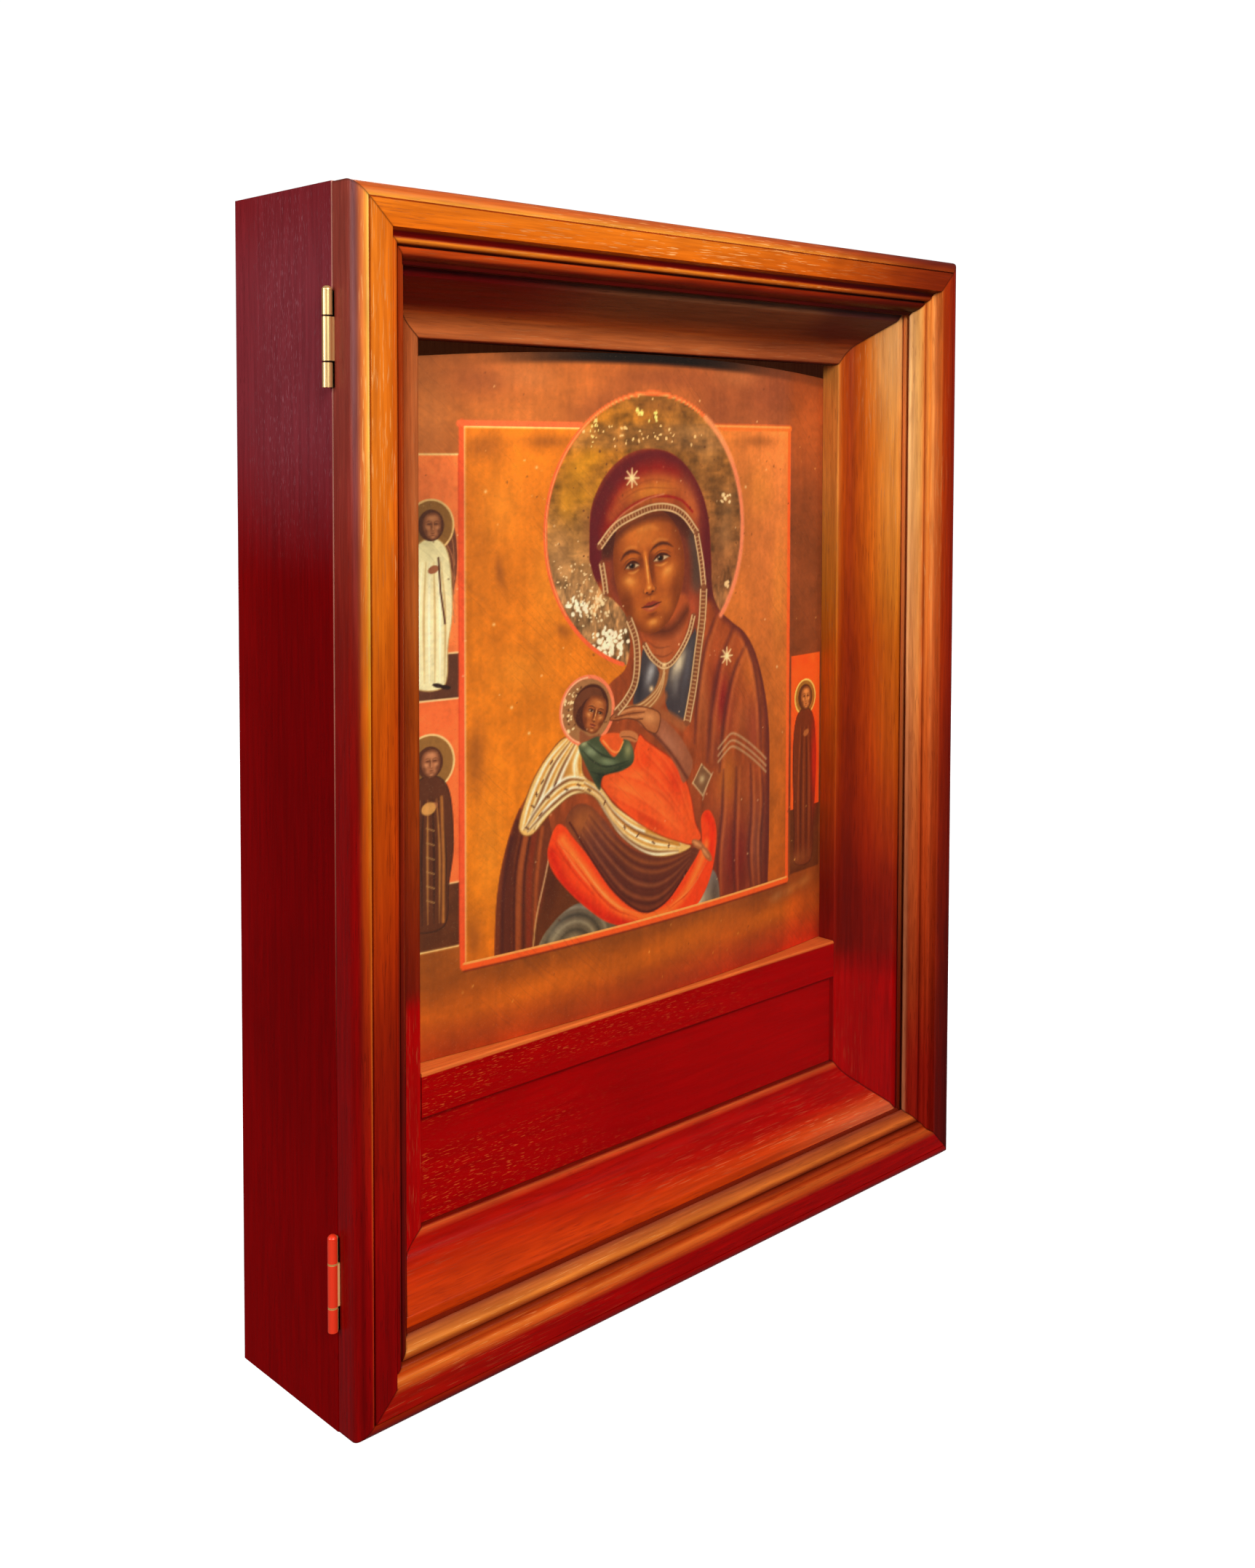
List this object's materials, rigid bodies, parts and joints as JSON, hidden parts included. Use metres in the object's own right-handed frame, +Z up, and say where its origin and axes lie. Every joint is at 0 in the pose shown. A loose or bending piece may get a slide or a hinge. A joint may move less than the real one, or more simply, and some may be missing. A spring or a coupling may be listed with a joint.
{
  "type": "glazed icon case",
  "caption": "Wooden icon case with a mitred, moulded glass door on hinges, a splayed inner frame and a bowed painted icon board.",
  "frame": {"origin": "middle of the case's underside", "axes": "+Z up, the door faces -Y and its hinges are on the -X side"},
  "size_m": [0.3712, 0.085, 0.467],
  "materials": {
    "lacquered_wood": "open-pored wood, stained red, glossy lacquer",
    "moulded_wood": "moulded wood, stained orange-brown to red, glossy lacquer",
    "raw_wood": "bare planed wood and plywood",
    "aged_wood": "old tempera painting on a wooden board, worn and varnished",
    "clear_glass": "clear float glass",
    "hinge_brass": "polished brass",
    "bright_steel": "nickel-plated steel"
  },
  "bodies": {
    "case": {"back_panel": "raw_wood", "back_screw_1": "bright_steel", "back_screw_2": "bright_steel", "back_screw_3": "bright_steel", "back_screw_4": "bright_steel", "back_screw_5": "bright_steel", "back_screw_6": "bright_steel", "back_screw_7": "bright_steel", "back_screw_8": "bright_steel", "case_bottom_board": "lacquered_wood", "case_left_side": "lacquered_wood", "case_right_side": "lacquered_wood", "case_top_board": "lacquered_wood", "cross_rail": "moulded_wood", "icon_board": "aged_wood", "icon_left_clamp": "raw_wood", "icon_lower_batten": "raw_wood", "icon_right_clamp": "raw_wood", "icon_upper_batten": "raw_wood", "inner_frame_bottom_rail": "moulded_wood", "inner_frame_left_stile": "moulded_wood", "inner_frame_right_stile": "moulded_wood", "inner_frame_top_rail": "moulded_wood", "left_clamp_lower_screw": "bright_steel", "left_clamp_upper_screw": "bright_steel", "lower_catch_magnet": "bright_steel", "lower_hinge_case_bottom_screw": "hinge_brass", "lower_hinge_case_leaf": "hinge_brass", "lower_hinge_case_top_screw": "hinge_brass", "lower_hinge_pin": "hinge_brass", "lower_panel": "lacquered_wood", "right_clamp_lower_screw": "bright_steel", "right_clamp_upper_screw": "bright_steel", "upper_catch_magnet": "bright_steel", "upper_hinge_case_bottom_screw": "hinge_brass", "upper_hinge_case_leaf": "hinge_brass", "upper_hinge_case_top_screw": "hinge_brass", "upper_hinge_pin": "hinge_brass"},
    "door": {"door_bottom_rail": "moulded_wood", "door_left_stile": "moulded_wood", "door_right_stile": "moulded_wood", "door_top_rail": "moulded_wood", "glass_pane": "clear_glass", "glazing_strip_bottom": "moulded_wood", "glazing_strip_left": "moulded_wood", "glazing_strip_right": "moulded_wood", "glazing_strip_top": "moulded_wood", "lower_catch_strike": "bright_steel", "lower_hinge_door_bottom_screw": "hinge_brass", "lower_hinge_door_leaf": "hinge_brass", "lower_hinge_door_top_screw": "hinge_brass", "upper_catch_strike": "bright_steel", "upper_hinge_door_bottom_screw": "hinge_brass", "upper_hinge_door_leaf": "hinge_brass", "upper_hinge_door_top_screw": "hinge_brass"}
  },
  "joints": [
    {"name": "door_hinge", "type": "hinge", "parent": "case", "child": "door", "pos_m": [-0.1858, -0.035, 0.2335], "axis": [0, 0, -1], "range_deg": [0, 180]}
  ]
}
